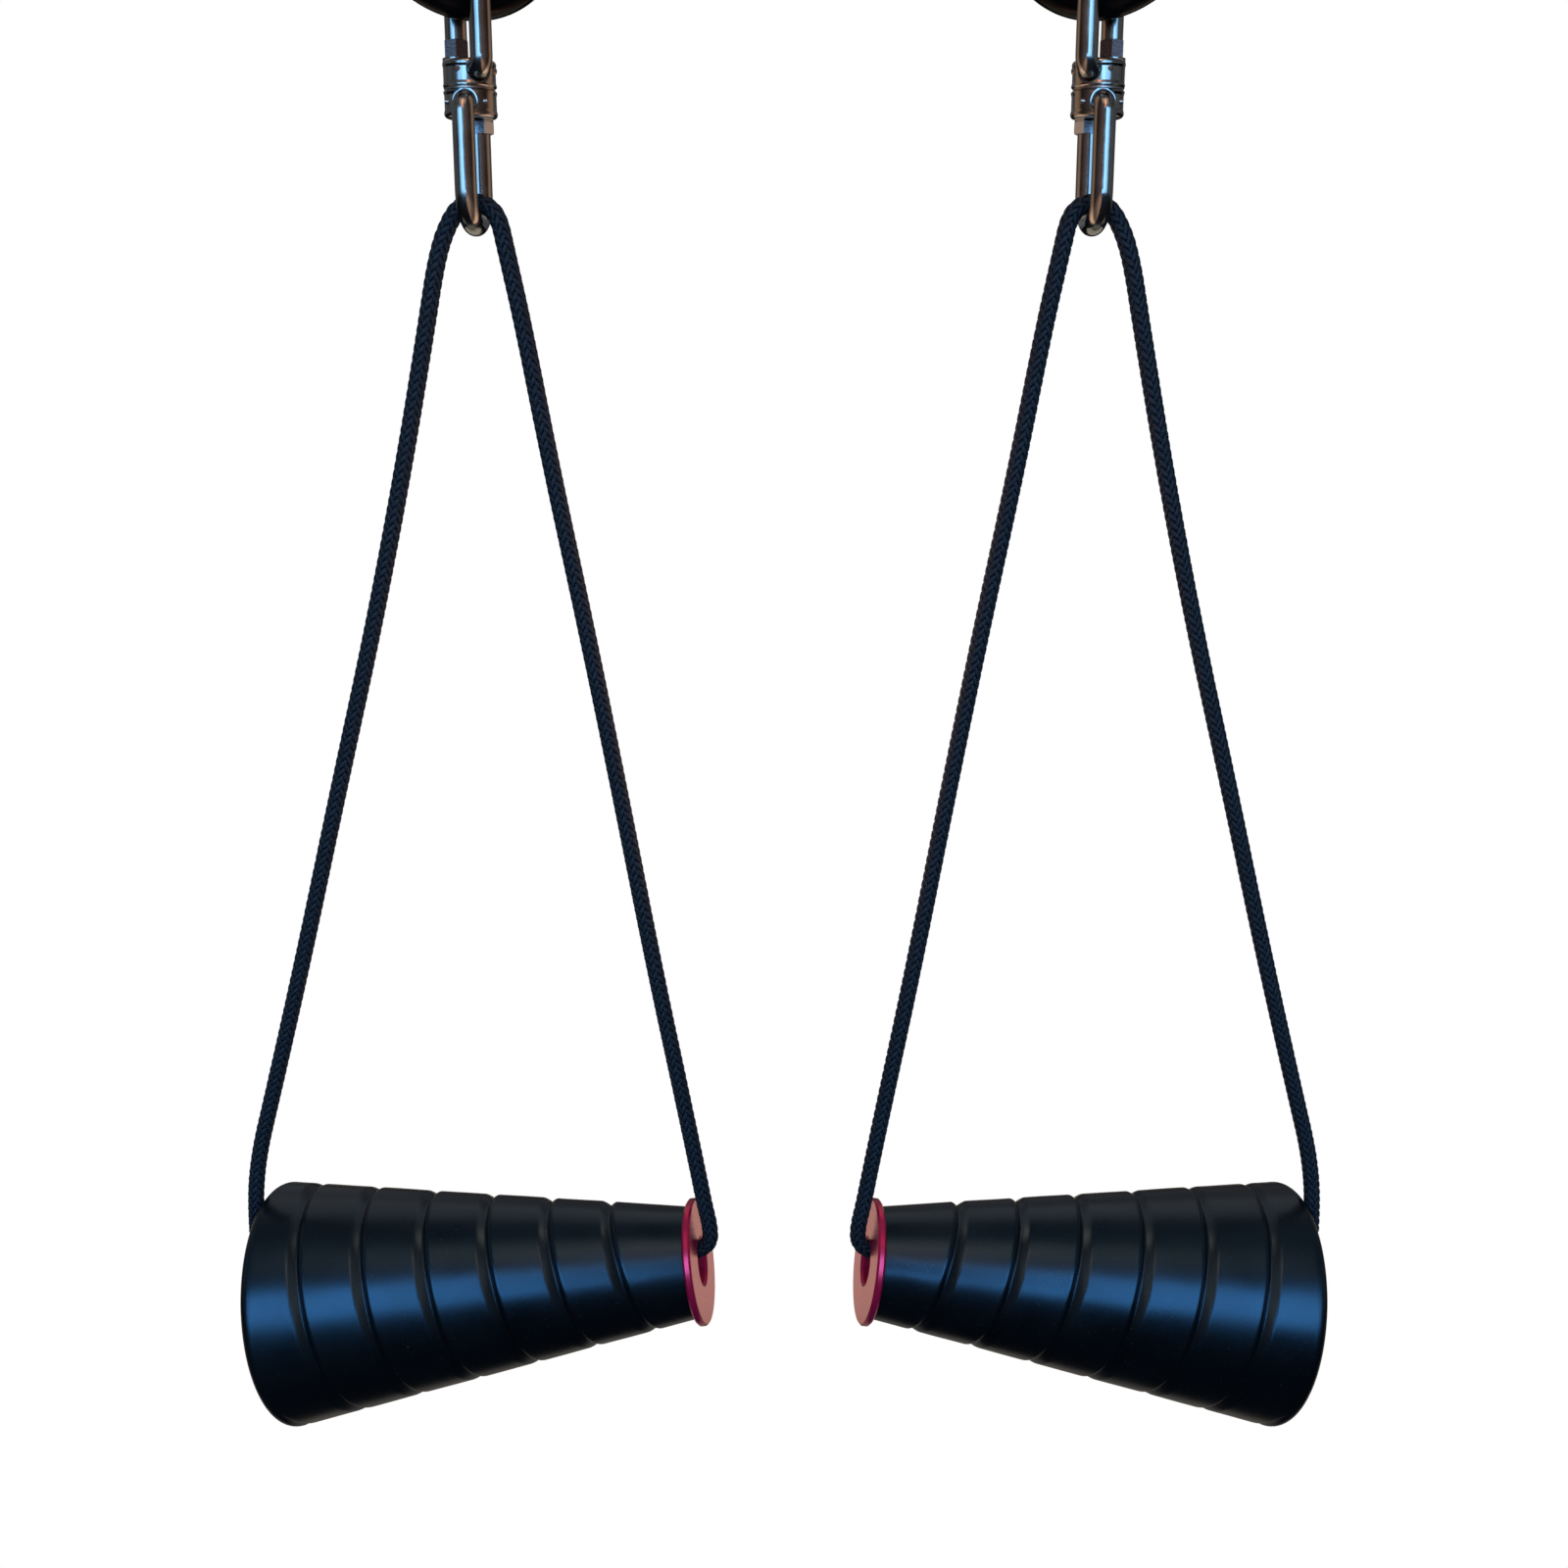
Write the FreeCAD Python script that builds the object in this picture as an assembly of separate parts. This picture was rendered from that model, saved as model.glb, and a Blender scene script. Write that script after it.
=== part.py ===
"""A pair of hanging cone grips: two steel rings, two swivel links, two cord loops, two cones.

Frame: millimetres, +Z up, +X to the right and -Y towards the user.  The origin is midway
between the two hang points, which are the inner tops of the rings.  The left grip is
modelled about its own swivel axis and the right grip is its mirror image in the plane X = 0.
"""
import FreeCAD
import Part
import math
import os

V = FreeCAD.Vector
Z_AXIS = V(0, 0, 1)

# ---- driving dimensions -------------------------------------------------------------
HANG_SPACING = 170.0  # between the two swivel axes

RING_ROD = 10.0
RING_MEAN_RADIUS = 26.0

BOW_ROD = 6.0
BOW_WIDTH = 17.0  # between the centre lines of a bow's two legs
ELBOW_RADIUS = 3.3
LEG_TIP = 3.6  # from the swivel axis to the end of the bent leg
REST_GAP = 0.3  # between a bow and what hangs on it

UPPER_BOW_CLEAR = 10.1  # from the ring's rod down to the upper collar
LOWER_BOW_INSIDE = 24.6  # from the lower collar down to the bow's bar

COLLAR_RADIUS = 7.2
COLLAR_WAIST = 7.0
COLLAR_HEIGHT = 7.1
COLLAR_LIP = 1.4
COLLAR_ROUNDING = 1.1  # of the outer face's edge
COLLAR_WEB = 2.4
COLLAR_POCKET = 3.5  # radius of the pocket that takes the rivet's head
UPPER_ELBOW_HEIGHT = 4.3  # of the bent leg's centre line above the collar's inner face
LOWER_ELBOW_HEIGHT = 3.2
ELBOW_GROOVE = 0.5  # of the collar round the bent leg, where it goes in
ELBOW_GROOVE_DEPTH = 1.3
LUG_RADIUS = 3.9
LUG_START = 0.8
UPPER_LUG_STAND = 1.6  # how far the lug stands out of the collar's outer face
LOWER_LUG_STAND = -0.2

CROSS_PIN_RADIUS = 0.75
CROSS_PIN_OFFSET = 4.4

STUD_RADIUS = 2.0  # M4 end of the straight leg
STUD_DEPTH = 4.2
NUT_FLATS = 7.0
NUT_HEIGHT = 3.2
NUT_TURN = 3.0  # puts one flat to the front
UPPER_NUT_FLATS = 6.2
UPPER_NUT_HEIGHT = 4.6
UPPER_NUT_TURN = 6.0  # puts one flat to the front and a little outwards

RIVET_RADIUS = 2.0
RIVET_HEAD_RADIUS = 3.15
RIVET_HEAD_HEIGHT = 1.6
RUNNING_GAP = 0.05
WASHER_RADIUS = 6.7
WASHER_HEIGHT = 0.55

CORD_DIAMETER = 5.0
ARCH_RADIUS = 7.2  # of the cord's centre line where it goes over the bow
KNOT_START = 14.0
KNOT_LENGTH = 20.0
KNOT_RADIUS = 6.2

CONE_LENGTH = 136.2  # from the large end's lip to the outer face of the small bush
CONE_TILT = 8.9  # the small end is the higher one
LARGE_RADIUS = 38.5
SMALL_RADIUS = 17.0
LARGE_END_X = -74.8  # centre of the large end, from the swivel axis
LARGE_END_DROP = 337.3  # and below the top of the cord
SLEEVE_WALL = 1.6
SLEEVE_EDGE = 3.4  # rounding of the large end
LIP_INNER_RADIUS = 33.2
CORE_WALL = 1.5
CAVITY_END = 76.0
CAVITY_END_RADIUS = 18.0
PLUG_RADIUS = 32.5
PLUG_DEPTH = 1.8

BUSH_PLATE = 2.5
BUSH_BORE = 7.0
BUSH_EDGE = 0.6
BUSH_MOUTH = 0.8
SMALL_BUSH_RADIUS = 19.5
SMALL_HUB_RADIUS = 14.2
SMALL_HUB_LENGTH = 47.0  # heavy enough to put the cone's centre of mass under the swivel
LARGE_BUSH_RADIUS = 13.0
LARGE_HUB_RADIUS = 9.5
LARGE_BUSH_PROUD = 0.9

UPPER_TURN = 32.0  # upper bow and ring about the swivel axis
LOWER_TURN = -5.0  # lower bow, cord and cone about the same axis

# ---- heights worked out from them ---------------------------------------------------
RING_CENTRE_Z = -(RING_MEAN_RADIUS - RING_ROD / 2)
RING_LOW_Z = RING_CENTRE_Z - RING_MEAN_RADIUS
UPPER_BOW_INNER_Z = RING_LOW_Z + RING_ROD / 2 + REST_GAP
UPPER_FACE_Z = RING_LOW_Z - RING_ROD / 2 - UPPER_BOW_CLEAR
UPPER_BASE_Z = UPPER_FACE_Z - COLLAR_HEIGHT
LOWER_BASE_Z = UPPER_BASE_Z - WASHER_HEIGHT - RUNNING_GAP
LOWER_FACE_Z = LOWER_BASE_Z - COLLAR_HEIGHT
BAR_Z = LOWER_FACE_Z - LOWER_BOW_INSIDE - BOW_ROD / 2
CORD_TOP_Z = BAR_Z + BOW_ROD / 2 + REST_GAP + CORD_DIAMETER / 2

# ---- the cone's own axis ------------------------------------------------------------
TILT = math.radians(CONE_TILT)
LARGE_END = V(LARGE_END_X, 0, CORD_TOP_Z - LARGE_END_DROP)
AXIS = V(math.cos(TILT), 0, math.sin(TILT))
ACROSS = V(-math.sin(TILT), 0, math.cos(TILT))


def on_cone(along, up):
    """A point of the cord's plane: along the cone from its large end, and up from its axis."""
    return LARGE_END + AXIS * along + ACROSS * up


def below_top(x, drop):
    """A point of the cord's plane: x from the swivel axis, and drop below the cord's top."""
    return V(x, 0, CORD_TOP_Z - drop)


def arch_points():
    """The four corners of the route where the cord goes over the bow."""
    half_turn = math.radians(19.5)
    reach = ARCH_RADIUS / math.cos(half_turn)
    points = []
    for turns in (-3, -1, 1, 3):
        angle = turns * half_turn
        points.append(below_top(reach * math.sin(angle), ARCH_RADIUS - reach * math.cos(angle)))
    return points


CORD_ROUTE = [
    # from the knot out of the large end
    on_cone(KNOT_START, 2.5),
    on_cone(7.5, 2.7),
    on_cone(0.6, 3.1),
    on_cone(-4.9, 5.9),
    on_cone(-6.0, 13.5),
    on_cone(-5.0, 26.0),
    # up the outer leg
    below_top(-82.3, 290.0),
    below_top(-74.2, 262.0),
    below_top(-62.1, 219.0),
    below_top(-48.0, 166.0),
    below_top(-34.6, 117.0),
    below_top(-23.6, 72.0),
    below_top(-15.4, 34.5),
    below_top(-11.0, 13.0),
    # over the bow
    *arch_points(),
    # down the inner leg
    below_top(8.4, 12.5),
    below_top(12.6, 33.0),
    below_top(19.4, 72.5),
    below_top(28.2, 118.0),
    below_top(37.2, 168.0),
    below_top(46.0, 219.0),
    below_top(54.2, 262.0),
    below_top(58.3, 284.0),
    # in at the small end and back to the knot
    on_cone(CONE_LENGTH + 3.8, 19.0),
    on_cone(CONE_LENGTH + 4.3, 11.5),
    on_cone(CONE_LENGTH + 3.4, 5.6),
    on_cone(CONE_LENGTH - 2.2, 3.2),
    on_cone(CONE_LENGTH - 10.5, 2.8),
    on_cone(CONE_LENGTH - 24.0, 3.2),
    on_cone(CONE_LENGTH - 50.0, 2.9),
    on_cone(CONE_LENGTH - 79.0, 2.2),
    on_cone(KNOT_START + KNOT_LENGTH, 2.5),
]


# ---- small helpers ------------------------------------------------------------------
def revolved(points, origin=V(0, 0, 0), axis=Z_AXIS):
    """Turn a closed outline in the XZ plane (x is the radius) about Z, then place it."""
    outline = Part.makePolygon([V(r, 0, z) for r, z in points + points[:1]])
    solid = Part.Face(outline).revolve(V(0, 0, 0), Z_AXIS, 360)
    return placed(solid, origin, axis)


def placed(shape, origin, axis):
    """Stand a shape that was built along Z on origin, along axis."""
    turn = FreeCAD.Rotation(Z_AXIS, axis)
    return moved(shape, FreeCAD.Placement(origin, turn))


def moved(shape, placement):
    copy = shape.copy()
    copy.Placement = placement.multiply(copy.Placement)
    return copy


def cylinder(radius, start, end):
    span = end - start
    return Part.makeCylinder(radius, span.Length, start, span)


def rod_along(edges, radius):
    """A round rod swept along tangent edges."""
    path = Part.Wire(edges)
    start = edges[0].valueAt(edges[0].FirstParameter)
    direction = edges[0].tangentAt(edges[0].FirstParameter)
    section = Part.Wire([Part.makeCircle(radius, start, direction)])
    return path.makePipeShell([section], True, True)


def rounded_route(points):
    """Straight runs joined by tangent arcs; also gives the length and the arc radii."""
    edges = []
    radii = []
    here = points[0]
    for before, corner, after in zip(points, points[1:], points[2:]):
        back = before - corner
        ahead = after - corner
        shorter = min(back.Length, ahead.Length)
        back.normalize()
        ahead.normalize()
        half_turn = (math.pi - back.getAngle(ahead)) / 2
        cut = 0.45 * shorter
        radius = cut / math.tan(half_turn)
        bisector = (back + ahead).normalize()
        centre_distance = radius / math.cos(half_turn)
        enter = corner + back * cut
        leave = corner + ahead * cut
        middle = corner + bisector * (centre_distance - radius)
        edges.append(Part.LineSegment(here, enter).toShape())
        edges.append(Part.Arc(enter, middle, leave).toShape())
        radii.append(radius)
        here = leave
    edges.append(Part.LineSegment(here, points[-1]).toShape())
    return edges, sum(edge.Length for edge in edges), radii


# ---- ring, bows and swivel, about the swivel axis -------------------------------------
def ring():
    return Part.makeTorus(RING_MEAN_RADIUS, RING_ROD / 2, V(0, 0, RING_CENTRE_Z), V(0, 1, 0))


def bow_edges(inner_z, elbow_z, shoulder_z, up):
    """Centre line of a bow: bent leg at -Y, round end, straight leg at +Y."""
    half = BOW_WIDTH / 2
    end_z = inner_z - up * (half - BOW_ROD / 2)
    bend_z = elbow_z + up * ELBOW_RADIUS
    slant = ELBOW_RADIUS * math.sqrt(0.5)
    tip = V(0, -LEG_TIP, elbow_z)
    inner = V(0, -half + ELBOW_RADIUS, elbow_z)
    bend = V(0, -half + ELBOW_RADIUS - slant, bend_z - up * slant)
    outer = V(0, -half, bend_z)
    front = V(0, -half, end_z)
    crown = V(0, 0, end_z + up * half)
    back = V(0, half, end_z)
    shoulder = V(0, half, shoulder_z)
    return [
        Part.LineSegment(tip, inner).toShape(),
        Part.Arc(inner, bend, outer).toShape(),
        Part.LineSegment(outer, front).toShape(),
        Part.Arc(front, crown, back).toShape(),
        Part.LineSegment(back, shoulder).toShape(),
    ]


def link_half(base_z, inner_z, lug_stand, elbow_height, nut_size, up, pin_gap):
    """One bow with its collar, cross pin and nut; up is 1 for the upper half, else -1."""
    nut_flats, nut_height, nut_turn = nut_size
    face_z = base_z + up * COLLAR_HEIGHT
    lug_z = face_z + up * lug_stand
    shoulder_z = lug_z + up * (nut_height + 0.1)
    elbow_z = base_z + up * elbow_height
    back_y = BOW_WIDTH / 2
    base = V(0, 0, base_z)
    direction = V(0, 0, up)

    edges = bow_edges(inner_z, elbow_z, shoulder_z, up)
    stud = cylinder(STUD_RADIUS, V(0, back_y, shoulder_z), V(0, back_y, lug_z - up * STUD_DEPTH))
    pin_half = math.sqrt(COLLAR_WAIST ** 2 - CROSS_PIN_OFFSET ** 2) + 0.35
    cross_pin = cylinder(
        CROSS_PIN_RADIUS,
        V(-pin_half, -CROSS_PIN_OFFSET, elbow_z),
        V(pin_half, -CROSS_PIN_OFFSET, elbow_z),
    )
    bow = rod_along(edges, BOW_ROD / 2).fuse(stud).removeSplitter().cut(cross_pin)

    lip = COLLAR_LIP
    collar = revolved(
        [
            (RIVET_RADIUS + pin_gap, 0),
            (COLLAR_RADIUS - 0.35, 0),
            (COLLAR_RADIUS, 0.35),
            (COLLAR_RADIUS, lip / 2),
            (COLLAR_WAIST, lip),
            (COLLAR_WAIST, COLLAR_HEIGHT - 1.5 * lip),
            (COLLAR_RADIUS, COLLAR_HEIGHT - lip),
            (COLLAR_RADIUS, COLLAR_HEIGHT),
            (COLLAR_POCKET, COLLAR_HEIGHT),
            (COLLAR_POCKET, COLLAR_WEB),
            (RIVET_RADIUS + pin_gap, COLLAR_WEB),
        ]
    )
    rim = []
    for edge in collar.Edges:
        box = edge.BoundBox
        if box.ZMin > COLLAR_HEIGHT - 0.01 and box.XMax > COLLAR_RADIUS - 0.01:
            rim.append(edge)
    collar = placed(collar.makeFillet(COLLAR_ROUNDING, rim), base, direction)
    lug = cylinder(LUG_RADIUS, V(0, back_y, base_z + up * LUG_START), V(0, back_y, lug_z))
    pocket = cylinder(COLLAR_POCKET, base + direction * COLLAR_WEB, V(0, 0, base_z + up * 12))
    collar = collar.fuse(lug.cut(pocket)).removeSplitter()
    collar = collar.cut(rod_along(edges[:3], BOW_ROD / 2 + 0.1))
    mouth = cylinder(
        BOW_ROD / 2 + ELBOW_GROOVE,
        V(0, -BOW_WIDTH, elbow_z),
        V(0, -COLLAR_RADIUS + ELBOW_GROOVE_DEPTH, elbow_z),
    )
    collar = collar.cut(mouth)
    corner = nut_flats / math.sqrt(3)
    nut_space = cylinder(
        corner + 0.3, V(0, back_y, lug_z), V(0, back_y, lug_z + up * 2 * nut_height)
    )
    collar = collar.cut(nut_space).cut(stud).cut(cross_pin)

    nut_start = V(0, back_y, lug_z if up > 0 else lug_z - nut_height)
    hexagon = []
    for side in range(7):
        angle = math.radians(nut_turn + 60 * side)
        hexagon.append(nut_start + V(corner * math.cos(angle), corner * math.sin(angle), 0))
    nut = Part.Face(Part.makePolygon(hexagon)).extrude(V(0, 0, nut_height))
    inner = nut_flats / 2 + 0.15
    half = nut_height / 2
    chamfered = Part.makeCone(inner, inner + 2 * half, half, nut_start).fuse(
        Part.makeCone(inner + 2 * half, inner, half, nut_start + V(0, 0, half))
    )
    nut = nut.common(chamfered).cut(stud)
    return {"bow": bow, "collar": collar, "cross_pin": cross_pin, "nut": nut}


def swivel_rivet():
    """Headed at both ends, through both collars and the washer."""
    upper_seat = UPPER_BASE_Z + COLLAR_WEB
    lower_seat = LOWER_BASE_Z - COLLAR_WEB - RUNNING_GAP
    edge = 0.4
    return revolved(
        [
            (0, lower_seat - RIVET_HEAD_HEIGHT),
            (RIVET_HEAD_RADIUS - edge, lower_seat - RIVET_HEAD_HEIGHT),
            (RIVET_HEAD_RADIUS, lower_seat - RIVET_HEAD_HEIGHT + edge),
            (RIVET_HEAD_RADIUS, lower_seat),
            (RIVET_RADIUS, lower_seat),
            (RIVET_RADIUS, upper_seat),
            (RIVET_HEAD_RADIUS, upper_seat),
            (RIVET_HEAD_RADIUS, upper_seat + RIVET_HEAD_HEIGHT - edge),
            (RIVET_HEAD_RADIUS - edge, upper_seat + RIVET_HEAD_HEIGHT),
            (0, upper_seat + RIVET_HEAD_HEIGHT),
        ]
    )


def swivel_washer():
    low = UPPER_BASE_Z - WASHER_HEIGHT
    return cylinder(WASHER_RADIUS, V(0, 0, low), V(0, 0, UPPER_BASE_Z)).cut(
        cylinder(RIVET_RADIUS, V(0, 0, low - 1), V(0, 0, UPPER_BASE_Z + 1))
    )


# ---- cord -----------------------------------------------------------------------------
def cord():
    edges, length, radii = rounded_route(CORD_ROUTE)
    solid = rod_along(edges, CORD_DIAMETER / 2)
    section = math.pi * CORD_DIAMETER ** 2 / 4
    print("cord length %.1f, volume over section times length %.4f" % (length, solid.Volume / section / length))
    print("cord arc radii", " ".join("%.1f" % radius for radius in radii))
    return solid


def knot():
    """The joined ends of the cord: a barrel inside the cone, without the cord through it."""
    start = on_cone(KNOT_START, 2.5)
    third = KNOT_LENGTH / 3
    outline = [
        (0, 0),
        (KNOT_RADIUS - 2.0, 0),
        (KNOT_RADIUS, 2.0),
        (KNOT_RADIUS, third),
        (KNOT_RADIUS - 0.6, third + 1.0),
        (KNOT_RADIUS - 0.6, 2 * third - 1.0),
        (KNOT_RADIUS, 2 * third),
        (KNOT_RADIUS, KNOT_LENGTH - 2.0),
        (KNOT_RADIUS - 2.0, KNOT_LENGTH),
        (0, KNOT_LENGTH),
    ]
    return revolved(outline, start, AXIS)


# ---- cone -----------------------------------------------------------------------------
BODY_LENGTH = CONE_LENGTH - BUSH_PLATE


def cone_radius(along):
    """Outer radius of the sleeve at a distance from the large end."""
    return LARGE_RADIUS + (SMALL_RADIUS - LARGE_RADIUS) * along / BODY_LENGTH


def sleeve():
    """Rubber skin, rolled over the core at the large end."""
    inner = SLEEVE_WALL
    solid = revolved(
        [
            (LIP_INNER_RADIUS, 0),
            (cone_radius(0), 0),
            (cone_radius(BODY_LENGTH), BODY_LENGTH),
            (cone_radius(BODY_LENGTH) - inner, BODY_LENGTH),
            (cone_radius(inner) - inner, inner),
            (LIP_INNER_RADIUS, inner),
        ]
    )
    rim = []
    for edge in solid.Edges:
        box = edge.BoundBox
        if box.ZMax < 0.01 and box.XMax > LARGE_RADIUS - 0.1:
            rim.append(edge)
    return placed(solid.makeFillet(SLEEVE_EDGE, rim), LARGE_END, AXIS)


def core():
    """Hollow body that the sleeve is stretched over, open at the large end."""
    start = SLEEVE_WALL
    plug_end = start + PLUG_DEPTH
    skin = SLEEVE_WALL
    hub_start = BODY_LENGTH - SMALL_HUB_LENGTH
    return revolved(
        [
            (PLUG_RADIUS, start),
            (cone_radius(start) - skin, start),
            (cone_radius(BODY_LENGTH) - skin, BODY_LENGTH),
            (SMALL_HUB_RADIUS, BODY_LENGTH),
            (SMALL_HUB_RADIUS, hub_start),
            (BUSH_BORE + 0.5, hub_start),
            (BUSH_BORE + 0.5, CAVITY_END),
            (CAVITY_END_RADIUS, CAVITY_END),
            (cone_radius(plug_end) - skin - CORE_WALL, plug_end),
            (PLUG_RADIUS, plug_end),
        ],
        LARGE_END,
        AXIS,
    )


def end_plug():
    """Closes the core's large end and holds the large bush."""
    start = SLEEVE_WALL
    return revolved(
        [
            (LARGE_HUB_RADIUS, start),
            (PLUG_RADIUS, start),
            (PLUG_RADIUS, start + PLUG_DEPTH),
            (LARGE_HUB_RADIUS, start + PLUG_DEPTH),
        ],
        LARGE_END,
        AXIS,
    )


def bush(plate_radius, hub_radius, hub_length):
    """Flanged bush along Z: outer face of its plate at 0, hub towards +Z."""
    end = BUSH_PLATE + hub_length
    return revolved(
        [
            (BUSH_BORE + BUSH_MOUTH, 0),
            (plate_radius - BUSH_EDGE, 0),
            (plate_radius, BUSH_EDGE),
            (plate_radius, BUSH_PLATE - BUSH_EDGE),
            (plate_radius - BUSH_EDGE, BUSH_PLATE),
            (hub_radius, BUSH_PLATE),
            (hub_radius, end),
            (BUSH_BORE, end),
            (BUSH_BORE, BUSH_MOUTH),
        ]
    )


def small_bush():
    """At the narrow end, facing along the cone's axis."""
    solid = bush(SMALL_BUSH_RADIUS, SMALL_HUB_RADIUS, SMALL_HUB_LENGTH)
    return placed(solid, LARGE_END + AXIS * CONE_LENGTH, AXIS * -1)


def large_bush():
    """At the wide end, a little proud of it."""
    solid = bush(LARGE_BUSH_RADIUS, LARGE_HUB_RADIUS, PLUG_DEPTH)
    return placed(solid, LARGE_END - AXIS * LARGE_BUSH_PROUD, AXIS)


# ---- one side, and both sides -----------------------------------------------------------
def left_side():
    """Every piece of the left grip, by name, turned about the swivel axis and put in place."""
    upper = {"ring": ring(), "swivel_rivet": swivel_rivet(), "swivel_washer": swivel_washer()}
    upper_nut = (UPPER_NUT_FLATS, UPPER_NUT_HEIGHT, UPPER_NUT_TURN)
    lower_nut = (NUT_FLATS, NUT_HEIGHT, NUT_TURN)
    for name, shape in link_half(
        UPPER_BASE_Z, UPPER_BOW_INNER_Z, UPPER_LUG_STAND, UPPER_ELBOW_HEIGHT, upper_nut, 1, 0
    ).items():
        upper["upper_" + name] = shape
    lower = {
        "cord": cord(),
        "knot": knot(),
        "sleeve": sleeve(),
        "core": core(),
        "end_plug": end_plug(),
        "small_bush": small_bush(),
        "large_bush": large_bush(),
    }
    bar_inner_z = BAR_Z + BOW_ROD / 2
    for name, shape in link_half(
        LOWER_BASE_Z, bar_inner_z, LOWER_LUG_STAND, LOWER_ELBOW_HEIGHT, lower_nut, -1, RUNNING_GAP
    ).items():
        lower["lower_" + name] = shape
    side = {}
    for pieces, turn in ((upper, UPPER_TURN), (lower, LOWER_TURN)):
        placement = FreeCAD.Placement(V(-HANG_SPACING / 2, 0, 0), FreeCAD.Rotation(Z_AXIS, turn))
        for name, shape in pieces.items():
            side[name] = moved(shape, placement)
    return side


def main():
    os.makedirs("parts", exist_ok=True)
    for name, shape in left_side().items():
        for hand, piece in (
            ("left", shape),
            ("right", shape.mirror(V(0, 0, 0), V(1, 0, 0))),
        ):
            solid = piece.Solids[0]
            node = hand + "_" + name
            print(node, len(piece.Solids), solid.isValid(), round(solid.Volume, 1))
            solid.exportStep("parts/" + node + ".step")


main()
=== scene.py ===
"""Looks of the hanging cone grips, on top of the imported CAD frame.  Metres, +Z up."""
import math

import bpy
import numpy as np
from mathutils import Matrix, Vector


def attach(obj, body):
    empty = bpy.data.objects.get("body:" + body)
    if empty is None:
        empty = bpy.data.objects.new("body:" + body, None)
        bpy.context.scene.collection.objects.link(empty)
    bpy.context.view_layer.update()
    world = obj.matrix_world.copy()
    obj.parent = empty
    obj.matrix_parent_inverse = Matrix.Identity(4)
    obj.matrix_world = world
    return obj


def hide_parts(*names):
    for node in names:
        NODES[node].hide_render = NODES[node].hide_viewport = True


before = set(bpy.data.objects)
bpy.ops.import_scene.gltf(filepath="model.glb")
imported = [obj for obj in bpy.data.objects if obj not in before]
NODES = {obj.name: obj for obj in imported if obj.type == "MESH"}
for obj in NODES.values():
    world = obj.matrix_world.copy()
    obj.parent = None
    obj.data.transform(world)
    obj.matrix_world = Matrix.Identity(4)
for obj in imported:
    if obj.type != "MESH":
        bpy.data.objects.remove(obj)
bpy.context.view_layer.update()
MM = 0.001
HANDS = ("left", "right")

# ---- the part's own dimensions, in metres ------------------------------------------
HANG_X = 85.0 * MM  # each swivel axis, from the middle
LOWER_TURN = math.radians(-5.0)
CORD_DIAMETER = 5.0 * MM
CORD_TOP_Z = -98.7 * MM
ARCH_RADIUS = 7.2 * MM
CONE_LENGTH = 136.2 * MM
BUSH_PLATE = 2.5 * MM
TILT = math.radians(8.9)
LARGE_RADIUS = 38.5 * MM
SMALL_RADIUS = 17.0 * MM
BODY_LENGTH = CONE_LENGTH - BUSH_PLATE
KNOT_FOOT = (14.0, 2.5)  # millimetres along the cone and up from its axis
KNOT_LENGTH = 20.0 * MM
KNOT_RADIUS = 6.2 * MM
KNOT_TURNS = 5
KNOT_WRAP_RADIUS = CORD_DIAMETER * 0.36
KNOT_ROD_RADIUS = CORD_DIAMETER * 0.48
CORD_EXIT = (-0.9, 3.4)  # where the cord leaves the large bush, as for KNOT_FOOT

LARGE_END = Vector((-74.8 * MM, 0, CORD_TOP_Z - 337.3 * MM))
AXIS = Vector((math.cos(TILT), 0, math.sin(TILT)))
ACROSS = Vector((-math.sin(TILT), 0, math.cos(TILT)))
BACK = Vector((0, 1, 0))


# ---- places ------------------------------------------------------------------------
def on_cone(along, up):
    """A point of the cord's plane: millimetres along the cone and up from its axis."""
    return LARGE_END + AXIS * (along * MM) + ACROSS * (up * MM)


def below_top(x, drop):
    """A point of the cord's plane: millimetres from the swivel axis and below the cord's top."""
    return Vector((x * MM, 0, CORD_TOP_Z - drop * MM))


def in_place(points, hand):
    """Turn points of the cord's plane about the left swivel; mirror them for the right hand."""
    rotation = np.array(Matrix.Rotation(LOWER_TURN, 3, "Z"))
    turned = np.asarray(points, float).reshape(-1, 3) @ rotation.T
    turned[:, 0] -= HANG_X
    if hand == "right":
        turned[:, 0] *= -1
    return turned


def arch_points():
    """Control points of the cord's arch over the lower bow: the corners round the arch's circle."""
    half_turn = math.radians(19.5)
    reach = ARCH_RADIUS / math.cos(half_turn)
    points = []
    for turns in (-3, -1, 1, 3):
        angle = turns * half_turn
        drop = ARCH_RADIUS - reach * math.cos(angle)
        points.append(below_top(reach * math.sin(angle) / MM, drop / MM))
    return points


CORD_ROUTE = [
    on_cone(*KNOT_FOOT),
    on_cone(7.5, 2.7),
    on_cone(0.6, 3.1),
    on_cone(-4.9, 5.9),
    on_cone(-6.0, 13.5),
    on_cone(-5.0, 26.0),
    below_top(-82.3, 290.0),
    below_top(-74.2, 262.0),
    below_top(-62.1, 219.0),
    below_top(-48.0, 166.0),
    below_top(-34.6, 117.0),
    below_top(-23.6, 72.0),
    below_top(-15.4, 34.5),
    below_top(-11.0, 13.0),
    *arch_points(),
    below_top(8.4, 12.5),
    below_top(12.6, 33.0),
    below_top(19.4, 72.5),
    below_top(28.2, 118.0),
    below_top(37.2, 168.0),
    below_top(46.0, 219.0),
    below_top(54.2, 262.0),
    below_top(58.3, 284.0),
    on_cone(140.0, 19.0),
    on_cone(140.5, 11.5),
    on_cone(139.6, 5.6),
    on_cone(134.0, 3.2),
    on_cone(125.7, 2.8),
    on_cone(112.2, 3.2),
    on_cone(86.2, 2.9),
    on_cone(57.2, 2.2),
    on_cone(34.0, 2.5),
]


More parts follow.
